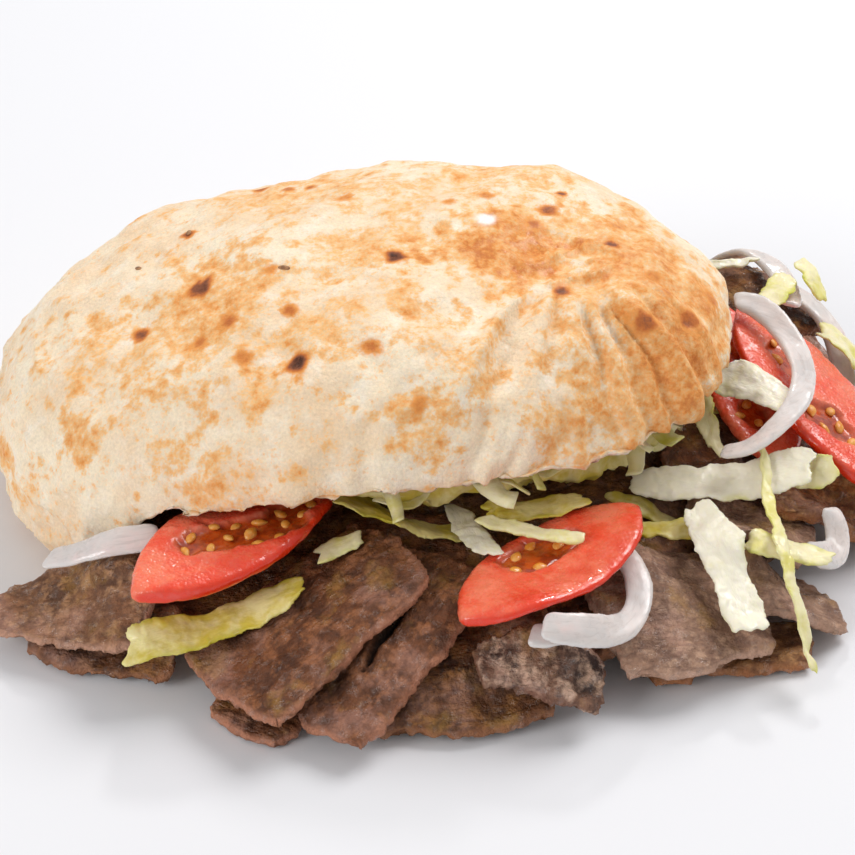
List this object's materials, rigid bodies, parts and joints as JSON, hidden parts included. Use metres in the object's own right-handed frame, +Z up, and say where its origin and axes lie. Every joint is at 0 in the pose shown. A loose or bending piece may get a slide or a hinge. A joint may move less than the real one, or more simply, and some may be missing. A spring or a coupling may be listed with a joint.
{
  "type": "doner kebab sandwich",
  "caption": "Pocket of toasted flatbread, open in front and at one side, filled with carved grilled meat, lettuce strips, tomato slices and onion rings.",
  "frame": {"origin": "middle of the footprint, on the surface the sandwich rests on", "axes": "+X towards the open right end, along the longest side; -Y towards the open front; +Z up"},
  "size_m": [0.253, 0.197, 0.0829],
  "materials": {
    "bread": "dry matte toasted crust",
    "meat": "browned, moist, half glossy",
    "tomato": "wet, glossy",
    "onion": "moist, slightly see-through",
    "lettuce": "crisp leaf, soft sheen"
  },
  "bodies": {
    "root": {"bread": "bread", "lettuce_back_bits": "lettuce", "lettuce_back_curl": "lettuce", "lettuce_back_edge": "lettuce", "lettuce_back_wisp": "lettuce", "lettuce_broad": "lettuce", "lettuce_corner": "lettuce", "lettuce_cross": "lettuce", "lettuce_fold": "lettuce", "lettuce_hollow": "lettuce", "lettuce_lip_fall": "lettuce", "lettuce_lip_left": "lettuce", "lettuce_lip_right": "lettuce", "lettuce_long": "lettuce", "lettuce_on_tomato": "lettuce", "lettuce_short_high": "lettuce", "lettuce_short_low": "lettuce", "lettuce_side_pale": "lettuce", "lettuce_thin": "lettuce", "lettuce_under_tomato": "lettuce", "meat_back_low": "meat", "meat_back_tip": "meat", "meat_bed": "meat", "meat_crisp": "meat", "meat_front_middle": "meat", "meat_left_tip": "meat", "meat_lip_inner": "meat", "meat_lower_left": "meat", "meat_lower_right": "meat", "meat_mid_shadow": "meat", "meat_mouth_right": "meat", "meat_right_broad": "meat", "meat_right_end": "meat", "meat_right_upper": "meat", "meat_side_back": "meat", "meat_side_front": "meat", "meat_side_low": "meat", "meat_torn_left": "meat", "meat_torn_right": "meat", "meat_under_bit": "meat", "onion_back": "onion", "onion_back_low": "onion", "onion_left": "onion", "onion_middle": "onion", "onion_scrap": "onion", "onion_side": "onion", "onion_side_low": "onion", "salad_bed": "lettuce", "tomato_front_left": "tomato", "tomato_middle": "tomato", "tomato_side_lower": "tomato", "tomato_side_upper": "tomato"}
  },
  "joints": []
}
